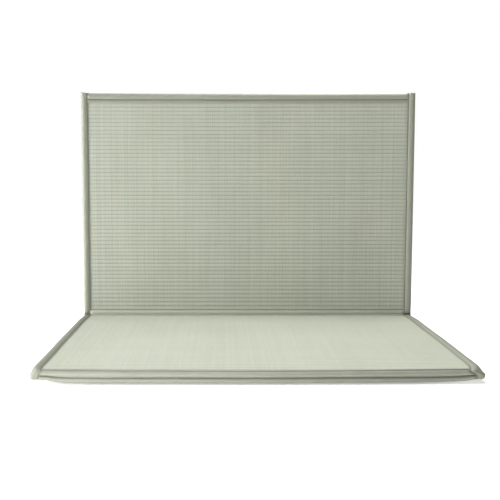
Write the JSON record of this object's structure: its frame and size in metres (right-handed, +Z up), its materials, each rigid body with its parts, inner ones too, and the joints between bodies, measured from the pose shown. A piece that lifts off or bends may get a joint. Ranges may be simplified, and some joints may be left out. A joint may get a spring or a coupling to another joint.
{
  "type": "folding tatami mat",
  "caption": "Folding tatami floor mat set up as a seat: padded panels faced with woven rush and bound in cloth tape, one folded under the seat and one standing upright as the back.",
  "frame": {"origin": "centre of the footprint, on the floor", "axes": "+X across the width to the viewer's right, +Y from the front edge to the upright panel, +Z up"},
  "size_m": [1, 0.6794, 0.6955],
  "materials": {
    "woven_rush": "woven rush, pale sage",
    "binding_cloth": "satin woven tape, grey olive",
    "backing_cloth": "plain cloth, matt"
  },
  "bodies": {
    "root": {"panel_lower": "backing_cloth", "panel_seat": "backing_cloth", "panel_upright": "backing_cloth", "rush_lower": "woven_rush", "rush_seat": "woven_rush", "rush_upright": "woven_rush", "binding_left": "binding_cloth", "binding_right": "binding_cloth", "binding_top": "binding_cloth", "binding_lower_end": "binding_cloth", "hinge_front": "binding_cloth", "hinge_rear": "binding_cloth"}
  },
  "joints": []
}
